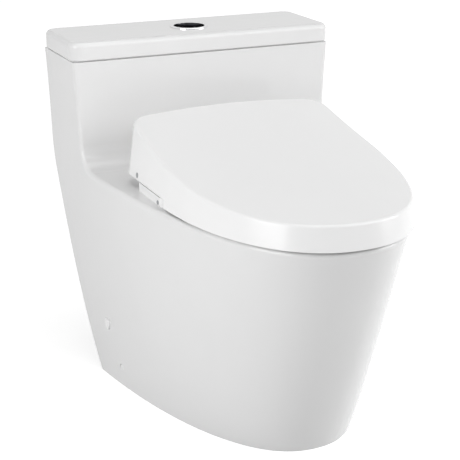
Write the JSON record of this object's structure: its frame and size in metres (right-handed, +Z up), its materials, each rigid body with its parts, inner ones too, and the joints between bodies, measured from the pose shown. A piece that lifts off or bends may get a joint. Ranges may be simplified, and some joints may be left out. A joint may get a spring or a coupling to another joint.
{
  "type": "one-piece bidet toilet",
  "caption": "One-piece skirted china toilet with a low tank, dual flush button and a bidet seat whose full-length lid slopes down to the front.",
  "frame": {"origin": "on the floor, under the middle of the bounding box", "axes": "+Z up, the front faces -Y, +X to the right of a person facing the front"},
  "size_m": [0.491, 0.735, 0.6],
  "materials": {
    "china": "white glaze",
    "white_plastic": "glossy white",
    "inner_plastic": "moulded white",
    "grey_plastic": "moulded grey",
    "dark_plastic": "moulded black",
    "blue_plastic": "moulded blue",
    "chrome": "polished",
    "steel": "plain",
    "brass": "plain",
    "rubber": "black",
    "white_rubber": "white",
    "board": "lacquered"
  },
  "bodies": {
    "toilet": {"toilet_body": "china", "valve_seat": "inner_plastic", "seat_gasket": "rubber", "valve_tower": "inner_plastic", "fill_valve_body": "inner_plastic", "fill_valve_cap": "blue_plastic", "inlet_washer": "rubber", "inlet_nut": "inner_plastic", "refill_tube": "white_rubber", "hinge_pins": "steel", "hinge_dampers": "dark_plastic", "bidet_base": "white_plastic", "unit_cover": "white_plastic", "mounting_plate": "grey_plastic", "mounting_bolts": "steel", "mounting_washers": "rubber", "mounting_nuts": "inner_plastic", "wand_guide": "inner_plastic", "wand_motor": "steel", "water_heater": "dark_plastic", "solenoid_valve": "brass", "bidet_inlet": "brass", "cord_gland": "dark_plastic", "fan_housing": "dark_plastic", "odour_filter": "dark_plastic", "control_board": "board", "release_spring": "steel", "side_caps": "white_plastic", "foot_caps": "white_plastic", "side_screws": "steel", "floor_brackets": "steel", "outlet_seal": "rubber"},
    "tank_lid": {"tank_lid": "china", "button_bezel": "chrome", "button_nut": "inner_plastic", "full_button_spring": "steel", "half_button_spring": "steel"},
    "full_button": {"full_flush_button": "chrome", "full_push_rod": "inner_plastic"},
    "half_button": {"half_flush_button": "chrome", "half_push_rod": "inner_plastic"},
    "full_pad": {"full_push_pad": "blue_plastic"},
    "half_pad": {"half_push_pad": "blue_plastic"},
    "flush_stem": {"valve_stem": "blue_plastic", "valve_seal": "rubber"},
    "float": {"fill_float": "grey_plastic"},
    "seat": {"seat_ring": "white_plastic", "seat_bumpers": "white_rubber"},
    "lid": {"bidet_lid": "white_plastic", "lid_arms": "inner_plastic", "lid_screws": "steel", "lid_plugs": "grey_plastic", "lid_bumpers": "white_rubber"},
    "wand": {"spray_wand": "white_plastic", "spray_tip": "chrome"},
    "release": {"release_button": "grey_plastic"},
    "fan": {"fan_wheel": "grey_plastic"}
  },
  "joints": [
    {"name": "tank_lid_lift", "type": "slide", "parent": "toilet", "child": "tank_lid", "axis": [0, 0, 1], "range_m": [0, 0.2]},
    {"name": "full_flush_press", "type": "slide", "parent": "tank_lid", "child": "full_button", "axis": [0, 0, -1], "range_m": [0, 0.006], "stiffness_N_per_m": 600, "springref_m": -0.002, "deforming": ["full_button_spring"]},
    {"name": "half_flush_press", "type": "slide", "parent": "tank_lid", "child": "half_button", "axis": [0, 0, -1], "range_m": [0, 0.006], "stiffness_N_per_m": 600, "springref_m": -0.002, "deforming": ["half_button_spring"]},
    {"name": "full_pad_drop", "type": "slide", "parent": "toilet", "child": "full_pad", "axis": [0, 0, -1], "range_m": [0, 0.006]},
    {"name": "half_pad_drop", "type": "slide", "parent": "toilet", "child": "half_pad", "axis": [0, 0, -1], "range_m": [0, 0.006]},
    {"name": "flush_stem_lift", "type": "slide", "parent": "toilet", "child": "flush_stem", "axis": [0, 0, 1], "range_m": [0, 0.018]},
    {"name": "float_drop", "type": "slide", "parent": "toilet", "child": "float", "axis": [0, 0, -1], "range_m": [0, 0.045]},
    {"name": "seat_hinge", "type": "hinge", "parent": "toilet", "child": "seat", "pos_m": [0, 0.0825, 0.43], "axis": [1, 0, 0], "range_deg": [-95, 0]},
    {"name": "lid_hinge", "type": "hinge", "parent": "seat", "child": "lid", "pos_m": [0, 0.0825, 0.43], "axis": [-1, 0, 0], "range_deg": [0, 100]},
    {"name": "wand_slide", "type": "slide", "parent": "toilet", "child": "wand", "axis": [0, -0.9272, -0.3746], "range_m": [0, 0.08]},
    {"name": "release_press", "type": "slide", "parent": "toilet", "child": "release", "axis": [1, 0, 0], "range_m": [0, 0.002], "stiffness_N_per_m": 400, "springref_m": -0.001, "deforming": ["release_spring"]},
    {"name": "fan_spin", "type": "hinge", "parent": "toilet", "child": "fan", "pos_m": [0.108, 0.0225, 0.386], "axis": [0, 0, 1], "continuous": true}
  ],
  "couplings": [
    {"joint": "full_pad_drop", "follows": "full_flush_press", "ratio": 1},
    {"joint": "flush_stem_lift", "follows": "full_flush_press", "ratio": 3},
    {"joint": "half_pad_drop", "follows": "half_flush_press", "ratio": 1}
  ]
}
